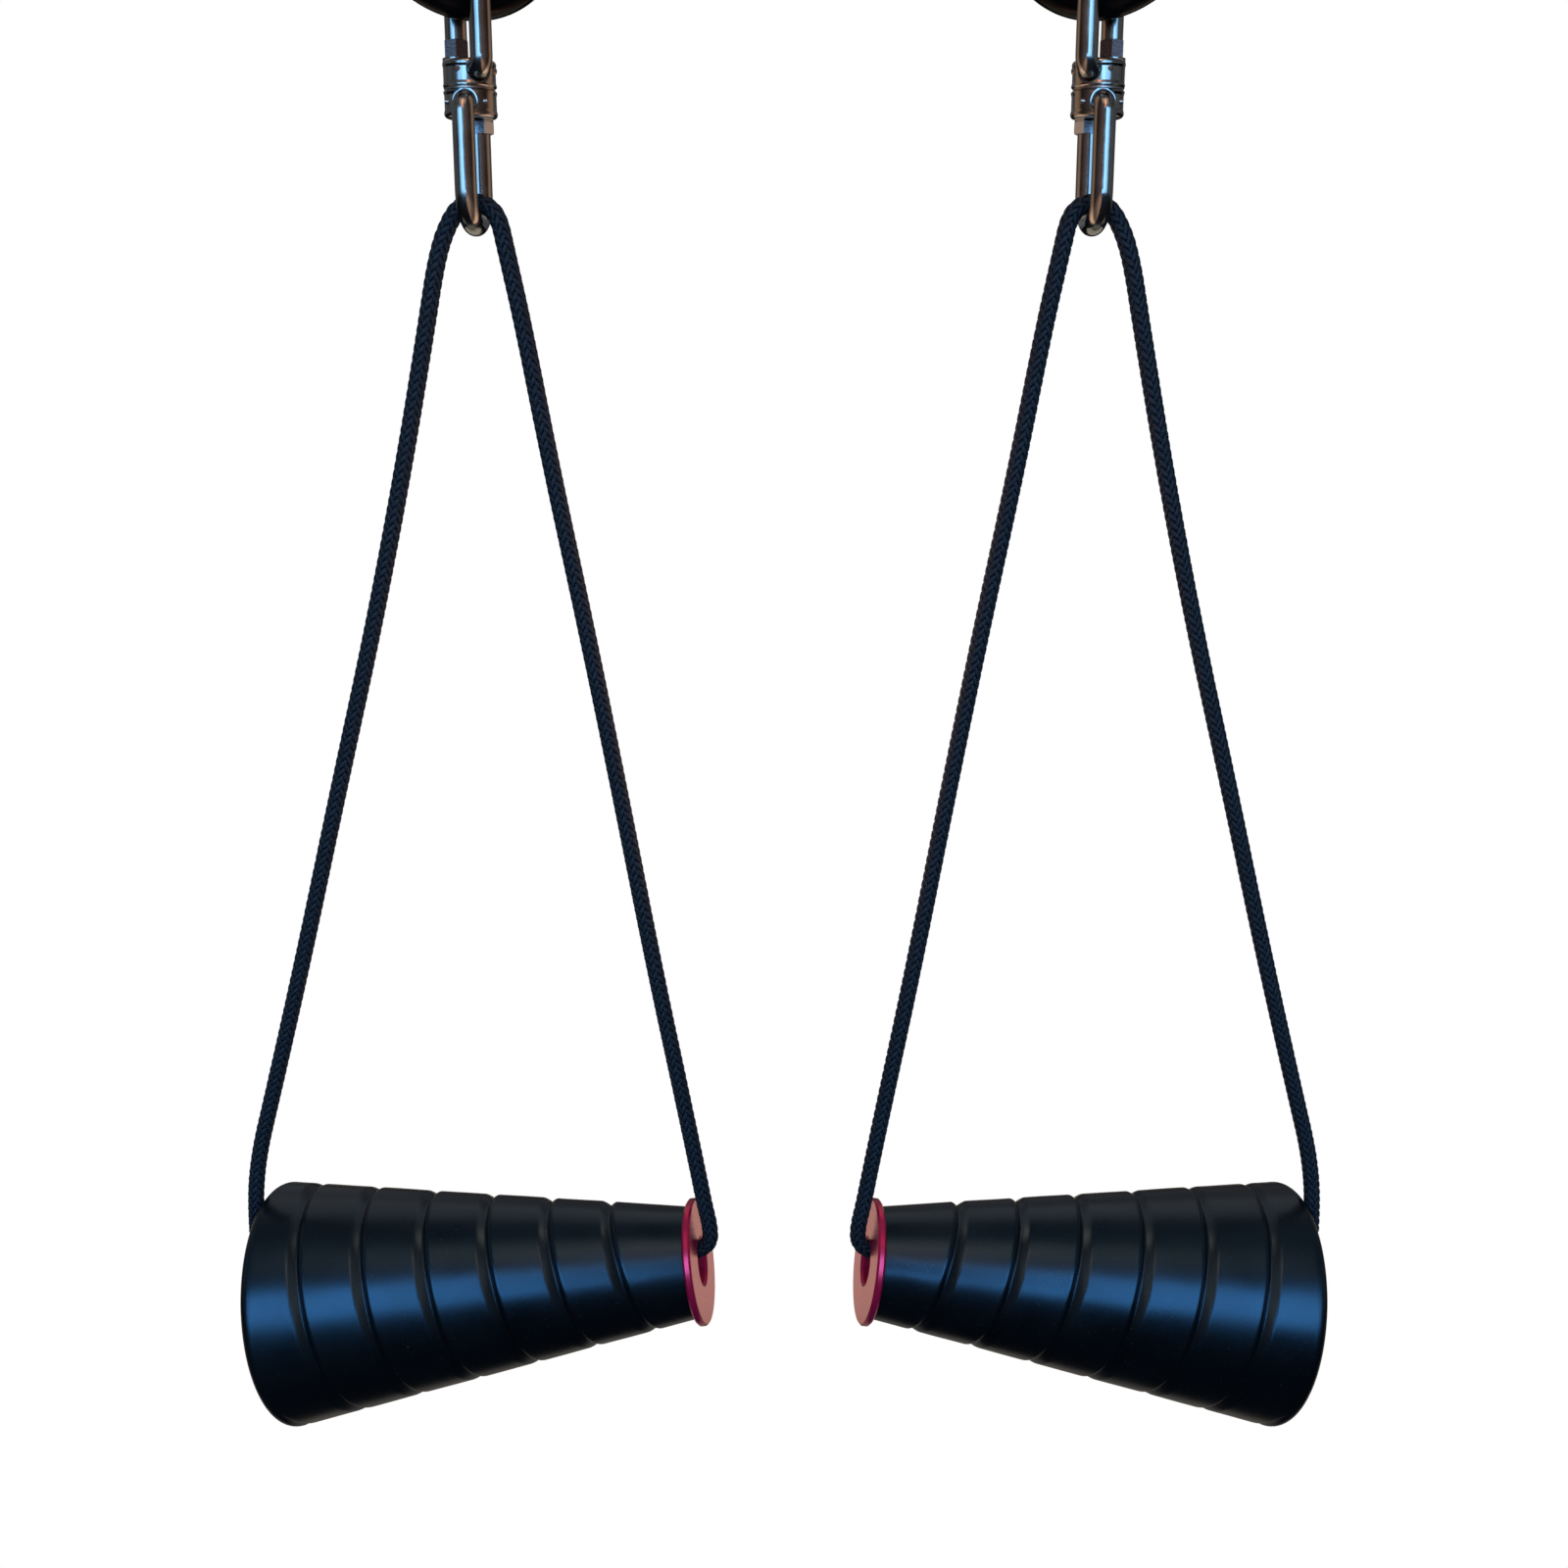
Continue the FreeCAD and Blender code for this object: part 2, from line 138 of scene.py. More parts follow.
# ---- mesh helpers --------------------------------------------------------------------
def add_mesh(name, points, faces, uvs=None, smooth=True):
    """A new object from points and faces; uvs holds one pair for each point."""
    mesh = bpy.data.meshes.new(name)
    mesh.from_pydata([tuple(p) for p in points], [], faces)
    mesh.validate()
    if uvs is not None:
        layer = mesh.uv_layers.new(name="UVMap")
        corners = np.empty(len(mesh.loops), int)
        mesh.loops.foreach_get("vertex_index", corners)
        layer.data.foreach_set("uv", np.asarray(uvs, float)[corners].ravel())
    if smooth:
        mesh.polygons.foreach_set("use_smooth", [True] * len(mesh.polygons))
    mesh.update()
    piece = bpy.data.objects.new(name, mesh)
    bpy.context.scene.collection.objects.link(piece)
    return piece


def set_painted_lightness(piece, values):
    """Painted shade of each point of a yarn, stored as its lightness: from 0, darkest, in a crevice
    to 1, unshaded, on a crown.
    """
    layer = piece.data.attributes.new("painted_lightness", "FLOAT", "POINT")
    layer.data.foreach_set("value", np.asarray(values, "f"))


def grid_faces(rows, columns, wrap_columns=True, start=0, flip=False):
    """Quads of a rows by columns grid of points, closed round its columns if asked."""
    faces = []
    last = columns if wrap_columns else columns - 1
    for i in range(rows - 1):
        for j in range(last):
            a = start + i * columns + j
            b = start + i * columns + (j + 1) % columns
            quad = (a, b, b + columns, a + columns)
            faces.append(quad[::-1] if flip else quad)
    return faces


def spline_points(points):
    """Points along the smooth line that has the route's points as its control points."""
    curve = bpy.data.curves.new("route", "CURVE")
    curve.dimensions = "3D"
    spline = curve.splines.new("NURBS")
    spline.points.add(len(points) - 1)
    for target, point in zip(spline.points, points):
        target.co = (*point, 1.0)
    spline.order_u = 3
    spline.use_endpoint_u = True
    spline.resolution_u = 24
    holder = bpy.data.objects.new("route", curve)
    bpy.context.scene.collection.objects.link(holder)
    line = bpy.data.meshes.new_from_object(holder)
    found = np.array([v.co[:] for v in line.vertices])
    bpy.data.objects.remove(holder)
    bpy.data.curves.remove(curve)
    bpy.data.meshes.remove(line)
    return found


def resampled(line, step):
    """Evenly spaced points of a line, with the distance along it of each."""
    runs = np.linalg.norm(np.diff(line, axis=0), axis=1)
    keep = np.concatenate([[True], runs > 1e-7])
    line = line[keep]
    along = np.concatenate([[0], np.cumsum(np.linalg.norm(np.diff(line, axis=0), axis=1))])
    count = int(round(along[-1] / step)) + 1
    places = np.linspace(0, along[-1], count)
    return np.stack([np.interp(places, along, line[:, k]) for k in range(3)], 1), places


def frames_along(line):
    """Two unit normals at each point of a line, which don't twist along it."""
    tangent = np.gradient(line, axis=0)
    tangent /= np.linalg.norm(tangent, axis=1)[:, None]
    first = np.cross(tangent[0], (0.0, 1.0, 0.1))
    normal = np.empty_like(line)
    normal[0] = first / np.linalg.norm(first)
    for i in range(1, len(line)):
        n = normal[i - 1] - tangent[i] * normal[i - 1].dot(tangent[i])
        normal[i] = n / np.linalg.norm(n)
    return normal, np.cross(tangent, normal)


# ---- camera, light, floor --------------------------------------------------------------
CAMERA_PLACE = Vector((0.0, -0.5129, -0.1405))
CAMERA_DIP = math.radians(13.4)
CAMERA_LENS = 40.9
SENSOR_WIDTH = 36.0
FLOOR_Z = -0.62
FLOOR_HALF = 6.0


def add_camera():
    data = bpy.data.cameras.new("Camera")
    data.lens = CAMERA_LENS
    data.sensor_width = SENSOR_WIDTH
    data.clip_start = 0.01
    camera = bpy.data.objects.new("Camera", data)
    camera.location = CAMERA_PLACE
    camera.rotation_euler = (math.radians(90.0) - CAMERA_DIP, 0, 0)
    bpy.context.scene.collection.objects.link(camera)
    bpy.context.scene.camera = camera


def add_area(name, place, target, width, height, power, colour):
    data = bpy.data.lights.new(name, "AREA")
    data.shape = "RECTANGLE"
    data.size = width
    data.size_y = height
    data.energy = power
    data.color = colour
    light = bpy.data.objects.new(name, data)
    light.location = place
    aim = Vector(target) - Vector(place)
    light.rotation_euler = aim.to_track_quat("-Z", "Y").to_euler()
    light.visible_camera = False
    bpy.context.scene.collection.objects.link(light)
    return light


WINDOW_Y = -1.6
WINDOW_COLOUR = (0.30, 0.62, 1.0)
WINDOWS = [  # name, x, z, width, height, power
    ("WindowLeft", -0.50, 0.22, 0.52, 0.95, 6.9),
    ("WindowFarLeft", -1.2, 0.22, 0.86, 0.95, 7.0),
    ("WindowRight", 0.50, 0.22, 0.52, 0.95, 6.9),
    ("WindowFarRight", 1.2, 0.22, 0.86, 0.95, 7.0),
    ("WindowLow", 0.0, -0.13, 0.46, 0.25, 1.5),
]
LAMPS = [  # name, place, target, width, height, power, colour
    ("WallLamp", (0.0, WINDOW_Y, 1.5), (0, 0, -0.42), 0.44, 1.5, 6.0, (1.0, 0.36, 0.20)),
    ("Ceiling", (0.0, 1.2, 0.9), (0, 0, -0.4), 2.0, 1.0, 1.9, (1.0, 0.73, 0.56)),
    ("Lamp", (0.0, -0.5, 0.7), (0, 0, -0.42), 0.9, 0.5, 1.1, (1.0, 0.57, 0.35)),
    ("Backdrop", (0.0, 0.6, -0.61), (0, 0.6, 0), 1.3, 0.6, 1.5, (1.0, 0.82, 0.62)),
    ("FloorGlow", (0.0, 0.15, -0.61), (0, 0.15, 0), 1.3, 0.2, 0.2, (1.0, 0.85, 0.7)),
]
CARD_PEAK = 5.0
CARD_PLAIN = 1 / CARD_PEAK
CARD_NEAR = -0.3  # y where the stripes start
CARD_FAR = 0.06  # y where they end
CARD_STRIPES = [  # share of the way from near to far, colour
    (0.0, (0.32, 0.175, 0.115)),
    (0.50, (0.26, 0.145, 0.10)),
    (0.66, (0.14, 0.08, 0.06)),
    (0.80, (0.05, 0.03, 0.025)),
    (0.88, (0.85, 0.46, 0.28)),
    (1.0, (0.80, 0.43, 0.26)),
]
CARD_TOP_GLOWS = [(0.0, 2.6 * CARD_PLAIN), (0.4, 2.4 * CARD_PLAIN), (0.52, 0.65 * CARD_PLAIN)]
CARD_LOW_GLOWS = [
    (0.0, 0.0),
    (0.5, 0.01),
    (0.73, 0.8 * CARD_PLAIN),
    (0.85, CARD_PLAIN),
    (0.93, 1.0),
]


def add_lights():
    """Windows behind the camera with a warm wall lamp between; ceiling, lamp and floor glow."""
    for name, x, z, width, height, power in WINDOWS:
        aim = (x, 0, z - 0.52)
        add_area(name, (x, WINDOW_Y, z), aim, width, height, power, WINDOW_COLOUR)
    for lamp in LAMPS:
        add_area(*lamp)


def empty_tree(material):
    material.use_nodes = True
    material.node_tree.nodes.clear()
    return material.node_tree


def add_card(name, front, back, low, top, glows):
    """Warm card on edge between the grips, so that each one reflects its own half of the room.

    glows are (share of its height, brightness), from its foot up.
    """
    points = [(0, front, low), (0, back, low), (0, back, top), (0, front, top)]
    card = add_mesh(name, points, [(0, 1, 2, 3)], smooth=False)
    material = bpy.data.materials.new(name)
    tree = empty_tree(material)
    where = tree.nodes.new("ShaderNodeTexCoord")
    split = tree.nodes.new("ShaderNodeSeparateXYZ")
    tree.links.new(where.outputs["Object"], split.inputs[0])
    depth = spread(tree, split.outputs["Y"], 0.0, 1.0, CARD_NEAR, CARD_FAR)
    height = spread(tree, split.outputs["Z"], 0.0, 1.0, low, top)
    brightness = ramp(tree, height, [(share, (value, value, value)) for share, value in glows])
    glow = tree.nodes.new("ShaderNodeEmission")
    tree.links.new(ramp(tree, depth, CARD_STRIPES), glow.inputs["Color"])
    tree.links.new(math_node(tree, "MULTIPLY", brightness, CARD_PEAK), glow.inputs["Strength"])
    out = tree.nodes.new("ShaderNodeOutputMaterial")
    tree.links.new(glow.outputs[0], out.inputs["Surface"])
    card.data.materials.append(material)
    card.visible_camera = False
    card.visible_diffuse = False
    card.visible_shadow = False


def add_cards():
    add_card("StageCardTop", -0.5, CARD_FAR, -0.3, 0.06, CARD_TOP_GLOWS)
    add_card("StageCardLow", -0.8, -0.02, -0.6, -0.3, CARD_LOW_GLOWS)


def camera_mix(tree, seen, other):
    """Shader that the camera sees as seen, and that lights the scene as other."""
    mix = tree.nodes.new("ShaderNodeMixShader")
    path = tree.nodes.new("ShaderNodeLightPath")
    tree.links.new(path.outputs["Is Camera Ray"], mix.inputs[0])
    tree.links.new(other, mix.inputs[1])
    tree.links.new(seen, mix.inputs[2])
    return mix.outputs[0]


def add_world():
    world = bpy.data.worlds.new("World")
    bpy.context.scene.world = world
    tree = empty_tree(world)
    seen = tree.nodes.new("ShaderNodeBackground")
    seen.inputs["Color"].default_value = (1, 1, 1, 1)
    seen.inputs["Strength"].default_value = 1.0
    room = tree.nodes.new("ShaderNodeBackground")
    where = tree.nodes.new("ShaderNodeTexCoord")
    clutter = noise(tree, where.outputs["Generated"], 3.0, 3.0)
    tone = ramp(tree, clutter, [(0.35, (0.05, 0.048, 0.05)), (0.65, (0.18, 0.175, 0.18))])
    tree.links.new(tone, room.inputs["Color"])
    out = tree.nodes.new("ShaderNodeOutputWorld")
    tree.links.new(camera_mix(tree, seen.outputs[0], room.outputs[0]), out.inputs["Surface"])


def add_floor():
    corners = ((-1, -1), (1, -1), (1, 1), (-1, 1))
    points = [(x * FLOOR_HALF, y * FLOOR_HALF, FLOOR_Z) for x, y in corners]
    floor = add_mesh("StageFloor", points, [(0, 1, 2, 3)], smooth=False)
    material = bpy.data.materials.new("PaleFloor")
    tree = empty_tree(material)
    paint = tree.nodes.new("ShaderNodeBsdfDiffuse")
    paint.inputs["Color"].default_value = (0.03, 0.028, 0.026, 1)
    glow = tree.nodes.new("ShaderNodeEmission")
    glow.inputs["Color"].default_value = (1, 1, 1, 1)
    glow.inputs["Strength"].default_value = 1.0
    out = tree.nodes.new("ShaderNodeOutputMaterial")
    tree.links.new(camera_mix(tree, glow.outputs[0], paint.outputs[0]), out.inputs["Surface"])
    floor.data.materials.append(material)


# ---- material helpers -------------------------------------------------------------------
def new_material(name, colour, roughness, metallic=0.0):
    material = bpy.data.materials.new(name)
    material.use_nodes = True
    shader = material.node_tree.nodes["Principled BSDF"]
    shader.inputs["Base Color"].default_value = (*colour, 1)
    shader.inputs["Roughness"].default_value = roughness
    shader.inputs["Metallic"].default_value = metallic
    return material, material.node_tree, shader


def object_coordinates(tree, scale=(1, 1, 1)):
    where = tree.nodes.new("ShaderNodeTexCoord")
    mapping = tree.nodes.new("ShaderNodeMapping")
    mapping.inputs["Scale"].default_value = scale
    tree.links.new(where.outputs["Object"], mapping.inputs["Vector"])
    return mapping.outputs["Vector"]


def uv_coordinates(tree, scale=(1, 1, 1)):
    where = tree.nodes.new("ShaderNodeTexCoord")
    mapping = tree.nodes.new("ShaderNodeMapping")
    mapping.inputs["Scale"].default_value = scale
    tree.links.new(where.outputs["UV"], mapping.inputs["Vector"])
    return mapping.outputs["Vector"]


def noise(tree, vector, scale, detail=3.0, roughness=0.55):
    node = tree.nodes.new("ShaderNodeTexNoise")
    node.inputs["Scale"].default_value = scale
    node.inputs["Detail"].default_value = detail
    node.inputs["Roughness"].default_value = roughness
    tree.links.new(vector, node.inputs["Vector"])
    return node.outputs["Fac"]


def ramp(tree, value, stops):
    """Colour ramp; stops are (position, colour)."""
    node = tree.nodes.new("ShaderNodeValToRGB")
    elements = node.color_ramp.elements
    elements.remove(elements[1])
    elements[0].position = stops[0][0]
    elements[0].color = (*stops[0][1], 1)
    for position, colour in stops[1:]:
        elements.new(position).color = (*colour, 1)
    tree.links.new(value, node.inputs["Fac"])
    return node.outputs["Color"]


def spread(tree, value, low, high, from_low=0.3, from_high=0.7):
    """A value between low and high, from one that mostly lies between 0.3 and 0.7."""
    node = tree.nodes.new("ShaderNodeMapRange")
    node.inputs["From Min"].default_value = from_low
    node.inputs["From Max"].default_value = from_high
    node.inputs["To Min"].default_value = low
    node.inputs["To Max"].default_value = high
    tree.links.new(value, node.inputs["Value"])
    return node.outputs["Result"]


def math_node(tree, operation, first, second):
    node = tree.nodes.new("ShaderNodeMath")
    node.operation = operation
    for socket, value in zip(node.inputs, (first, second)):
        if isinstance(value, (int, float)):
            socket.default_value = value
        else:
            tree.links.new(value, socket)
    return node.outputs[0]


def bump(tree, shader, height, strength, distance):
    node = tree.nodes.new("ShaderNodeBump")
    node.inputs["Strength"].default_value = strength
    node.inputs["Distance"].default_value = distance
    tree.links.new(height, node.inputs["Height"])
    tree.links.new(node.outputs["Normal"], shader.inputs["Normal"])


# ---- materials --------------------------------------------------------------------------
def ring_paint():
    """Gloss black enamel with faint orange peel and rubbed spots."""
    material, tree, shader = new_material("RingEnamel", (0.003, 0.003, 0.0035), 0.2)
    where = object_coordinates(tree)
    peel = noise(tree, where, 900.0, 2.0)
    rub = noise(tree, where, 60.0, 5.0)
    tree.links.new(spread(tree, rub, 0.12, 0.3), shader.inputs["Roughness"])
    bump(tree, shader, peel, 0.12, 0.0002)
    shader.inputs["Specular IOR Level"].default_value = 0.08
    return material


def polished_steel():
    """Tumble-polished stainless rod and castings, with fine handling scratches."""
    material, tree, shader = new_material("PolishedSteel", (0.32, 0.35, 0.36), 0.17, 1.0)
    where = object_coordinates(tree)
    cloud = noise(tree, where, 130.0, 5.0)
    scratch = noise(tree, object_coordinates(tree, (1.0, 1.0, 0.12)), 2600.0, 3.0)
    tree.links.new(spread(tree, cloud, 0.12, 0.25), shader.inputs["Roughness"])
    tone = ramp(tree, cloud, [(0.3, (0.27, 0.30, 0.31)), (0.7, (0.36, 0.40, 0.41))])
    tree.links.new(tone, shader.inputs["Base Color"])
    height = math_node(tree, "ADD", math_node(tree, "MULTIPLY", scratch, 0.35), cloud)
    bump(tree, shader, height, 0.02, 0.0004)
    return material


def zinc():
    """Bright zinc-plated nut, passivated blue, with faint turning lines."""
    material, tree, shader = new_material("ZincPlate", (0.52, 0.68, 0.86), 0.28, 1.0)
    lines = noise(tree, object_coordinates(tree, (0.05, 0.05, 1.0)), 9000.0, 2.0)
    tree.links.new(spread(tree, lines, 0.2, 0.38), shader.inputs["Roughness"])
    bump(tree, shader, lines, 0.2, 0.00005)
    return material


def dark_nut():
    """Blackened nut on the upper bow."""
    material, tree, shader = new_material("BlackedNut", (0.32, 0.31, 0.36), 0.25, 1.0)
    lines = noise(tree, object_coordinates(tree, (0.05, 0.05, 1.0)), 9000.0, 2.0)
    tree.links.new(spread(tree, lines, 0.18, 0.34), shader.inputs["Roughness"])
    bump(tree, shader, lines, 0.2, 0.00005)
    return material


def pin_steel():
    """Duller steel of the rivets and washers."""
    material, tree, shader = new_material("PinSteel", (0.36, 0.34, 0.32), 0.35, 1.0)
    grain = noise(tree, object_coordinates(tree), 1800.0, 4.0)
    tree.links.new(spread(tree, grain, 0.25, 0.5), shader.inputs["Roughness"])
    bump(tree, shader, grain, 0.15, 0.0001)
    return material


def core_plastic():
    """Moulded black plastic inside the cone."""
    material, tree, shader = new_material("CorePlastic", (0.02, 0.02, 0.021), 0.6)
    grain = noise(tree, object_coordinates(tree), 1500.0, 4.0)
    tree.links.new(spread(tree, grain, 0.5, 0.75), shader.inputs["Roughness"])
    bump(tree, shader, grain, 0.25, 0.0002)
    return material


def anodised(hand):
    """Crimson anodised aluminium, turned about the cone's axis."""
    material, tree, shader = new_material("Anodised_" + hand, (0.8, 0.015, 0.11), 0.3, 0.6)
    start, end = in_place([LARGE_END, LARGE_END + AXIS], hand)
    axis = Vector(end - start).normalized()
    where = tree.nodes.new("ShaderNodeTexCoord")
    shifted = tree.nodes.new("ShaderNodeVectorMath")
    shifted.operation = "SUBTRACT"
    shifted.inputs[1].default_value = tuple(start)
    tree.links.new(where.outputs["Object"], shifted.inputs[0])
    off_axis = tree.nodes.new("ShaderNodeVectorMath")
    off_axis.operation = "CROSS_PRODUCT"
    off_axis.inputs[1].default_value = tuple(axis)
    tree.links.new(shifted.outputs[0], off_axis.inputs[0])
    radius = tree.nodes.new("ShaderNodeVectorMath")
    radius.operation = "LENGTH"
    tree.links.new(off_axis.outputs[0], radius.inputs[0])
    combined = tree.nodes.new("ShaderNodeCombineXYZ")
    tree.links.new(radius.outputs["Value"], combined.inputs["X"])
    turned = noise(tree, combined.outputs[0], 5200.0, 2.0)
    cloud = noise(tree, where.outputs["Object"], 220.0, 4.0)
    tree.links.new(spread(tree, turned, 0.24, 0.40), shader.inputs["Roughness"])
    tone = ramp(tree, cloud, [(0.25, (0.70, 0.010, 0.09)), (0.75, (0.85, 0.02, 0.14))])
    tree.links.new(tone, shader.inputs["Base Color"])
    bump(tree, shader, turned, 0.25, 0.00004)
    shader.inputs["Coat Weight"].default_value = 0.6
    shader.inputs["Coat Roughness"].default_value = 0.3
    return material


def rubber():
    """Satin black sleeve: fine grain, faint stretch marks and dust, with a painted blue tint on its
    reflections.
    """
    material, tree, shader = new_material("GripRubber", (0.008, 0.009, 0.011), 0.3)
    where = object_coordinates(tree)
    grain = noise(tree, where, 2600.0, 3.0)
    cloud = noise(tree, where, 45.0, 5.0)
    dust = noise(tree, where, 1300.0, 1.0)
    specks = ramp(tree, dust, [(0.70, (0.0, 0.0, 0.0)), (0.80, (1.0, 1.0, 1.0))])
    tone = ramp(tree, cloud, [(0.3, (0.002, 0.0025, 0.003)), (0.7, (0.004, 0.0045, 0.005))])
    mix = tree.nodes.new("ShaderNodeMix")
    mix.data_type = "RGBA"
    tree.links.new(specks, mix.inputs["Factor"])
    tree.links.new(tone, mix.inputs["A"])
    mix.inputs["B"].default_value = (0.03, 0.031, 0.034, 1)
    tree.links.new(mix.outputs["Result"], shader.inputs["Base Color"])
    tree.links.new(spread(tree, cloud, 0.25, 0.33), shader.inputs["Roughness"])
    # painted reflection colour: the blue specular tint turns the window's reflections on the black
    # rubber deep blue
    shader.inputs["Specular Tint"].default_value = (0.25, 0.61, 1.0, 1)
    shader.inputs["Specular IOR Level"].default_value = 1.0
    height = math_node(tree, "ADD", math_node(tree, "MULTIPLY", grain, 0.25), cloud)
    bump(tree, shader, height, 0.12, 0.0005)
    return material


def cord_yarn():
    """Navy-black polyester yarn, darkened by painted shade in its crevices, at its yarns' edges and
    where yarns dip under others.

    U runs along each strand and V across its filaments.
    """
    material, tree, shader = new_material("CordYarn", (0.010, 0.014, 0.022), 0.5)
    filaments = noise(tree, uv_coordinates(tree, (60.0, 9.0, 1.0)), 1.0, 2.0)
    cloud = noise(tree, object_coordinates(tree), 320.0, 3.0)
    tone = ramp(tree, filaments, [(0.3, (0.007, 0.018, 0.031)), (0.75, (0.015, 0.037, 0.060))])
    # painted shade: the yarn colour is multiplied down to 0.3 where the painted lightness is low
    crown = tree.nodes.new("ShaderNodeAttribute")
    crown.attribute_name = "painted_lightness"
    shade = ramp(tree, crown.outputs["Fac"], [(0.1, (0.3, 0.3, 0.3)), (0.7, (1.0, 1.0, 1.0))])
    mix = tree.nodes.new("ShaderNodeMix")
    mix.data_type = "RGBA"
    mix.blend_type = "MULTIPLY"
    mix.inputs["Factor"].default_value = 1.0
    tree.links.new(tone, mix.inputs["A"])
    tree.links.new(shade, mix.inputs["B"])
    tree.links.new(mix.outputs["Result"], shader.inputs["Base Color"])
    tree.links.new(spread(tree, cloud, 0.42, 0.62), shader.inputs["Roughness"])
    shader.inputs["Specular IOR Level"].default_value = 0.25
    bump(tree, shader, filaments, 0.5, 0.00015)
    return material


# ---- cord ---------------------------------------------------------------------------------
SLOTS = 8  # strands winding each way
BRAID_PITCH = 20.5 * MM
STRAND_HALF_WIDTH = 0.72 * MM
STRAND_HALF_DEPTH = 0.38 * MM
STRAND_SIDES = 6
WEAVE_LIFT = 0.19 * MM
BRAID_RADIUS = CORD_DIAMETER / 2 - STRAND_HALF_DEPTH - WEAVE_LIFT * 0.6
CORE_RADIUS = BRAID_RADIUS - 0.1 * MM
CORE_SIDES = 10
CORD_STEP = 0.6 * MM
YARN_RUN = 100  # texture lengths to a metre of cord


def strand_sheet(line, normal, binormal, places, slot, way):
    """One flattened yarn of a two-over, two-under braid: its points, and each point's painted
    lightness (painted shade, dark at the yarn's edges and where it dips under the crossing yarns).
    """
    turn = 2 * math.pi * places / BRAID_PITCH
    angle = 2 * math.pi * slot / SLOTS + way * turn
    crossing = SLOTS * turn / math.pi
    weave = way * np.cos((2 * slot + way * crossing - 0.5) * math.pi / 2)
    lift = WEAVE_LIFT * np.clip(1.4 * weave, -1, 1)
    outward = np.cos(angle)[:, None] * normal + np.sin(angle)[:, None] * binormal
    centre = line + (BRAID_RADIUS + lift)[:, None] * outward
    along = np.gradient(centre, axis=0)
    along /= np.linalg.norm(along, axis=1)[:, None]
    sideways = np.cross(along, outward)
    rings = []
    painted_lightness = []
    for side in range(STRAND_SIDES):
        a = 2 * math.pi * side / STRAND_SIDES
        aside = math.cos(a) * STRAND_HALF_WIDTH * sideways
        rings.append(centre + aside + math.sin(a) * STRAND_HALF_DEPTH * outward)
        # painted shade: lightness is 0 at the yarn's side edges and underside, and falls towards 0
        # where the yarn dips under the crossing yarns
        painted_lightness.append(max(0, math.sin(a)) * (0.5 + 0.5 * lift / WEAVE_LIFT))
    return np.stack(rings, 1).reshape(-1, 3), np.stack(painted_lightness, 1).ravel()


def tube_points(line, normal, binormal, radius, sides):
    """Rings of points round a line; radius is one number, or one for each place on it."""
    angles = 2 * math.pi * np.arange(sides) / sides
    return (
        line[:, None, :]
        + radius * np.cos(angles)[None, :, None] * normal[:, None, :]
        + radius * np.sin(angles)[None, :, None] * binormal[:, None, :]
    ).reshape(-1, 3)


def add_cord(hand, yarn):
    """Braid of sixteen yarns round a plain core; gives it back with its centre line."""
    line = spline_points(in_place(CORD_ROUTE, hand))
    line, places = resampled(line, CORD_STEP)
    normal, binormal = frames_along(line)
    points = []
    faces = []
    uvs = []
    painted_lightness = []
    across = np.tile(np.arange(STRAND_SIDES) / STRAND_SIDES, len(line)) * 4
    for strand in range(2 * SLOTS):
        start = sum(len(p) for p in points)
        way = 1 if strand < SLOTS else -1
        sheet, sheet_painted_lightness = strand_sheet(line, normal, binormal, places, strand % SLOTS, way)
        points.append(sheet)
        painted_lightness.append(sheet_painted_lightness)
        faces += grid_faces(len(line), STRAND_SIDES, start=start)
        run = np.repeat(places * YARN_RUN + strand * 7.3, STRAND_SIDES)
        uvs.append(np.stack([run, across], 1))
    start = sum(len(p) for p in points)
    points.append(tube_points(line, normal, binormal, CORE_RADIUS, CORE_SIDES))
    # the core is painted in full shade
    painted_lightness.append(np.zeros(len(line) * CORE_SIDES))
    faces += grid_faces(len(line), CORE_SIDES, start=start)
    run = np.repeat(places * YARN_RUN, CORE_SIDES)
    around = np.tile(2 * math.pi * np.arange(CORE_SIDES) / CORE_SIDES, len(line))
    uvs.append(np.stack([run, around], 1))
    cord = add_mesh(hand + "_braided_cord", np.concatenate(points), faces, np.concatenate(uvs))
    cord.data.materials.append(yarn)
    set_painted_lightness(cord, np.concatenate(painted_lightness))
    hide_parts(hand + "_cord")
    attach(cord, hand + "_cord_loop")
    return cord, line


def knot_line(steps):
    """Helix of the knot's wrapped turns, with each point's share of the way along it."""
    t = np.linspace(0, 1, KNOT_TURNS * steps + 1)
    angle = 2 * math.pi * KNOT_TURNS * t
    reach = KNOT_RADIUS - KNOT_WRAP_RADIUS
    span = KNOT_LENGTH - 2 * KNOT_WRAP_RADIUS
    outward = np.cos(angle)[:, None] * np.array(ACROSS) + np.sin(angle)[:, None] * np.array(BACK)
    centres = np.array(AXIS) * (KNOT_WRAP_RADIUS + span * t)[:, None]
    return np.array(on_cone(*KNOT_FOOT)) + centres + reach * outward, t


def knot_rod(sides):
    """Two rings of points, the ends of the straight cord that the turns are wrapped round."""
    foot = np.array(on_cone(*KNOT_FOOT))
    points = []
    for place in (0.2 * MM, KNOT_LENGTH - 0.2 * MM):
        for a in 2 * math.pi * np.arange(sides) / sides:
            rim = math.cos(a) * np.array(ACROSS) + math.sin(a) * np.array(BACK)
            points.append(foot + np.array(AXIS) * place + rim * KNOT_ROD_RADIUS)
    return points


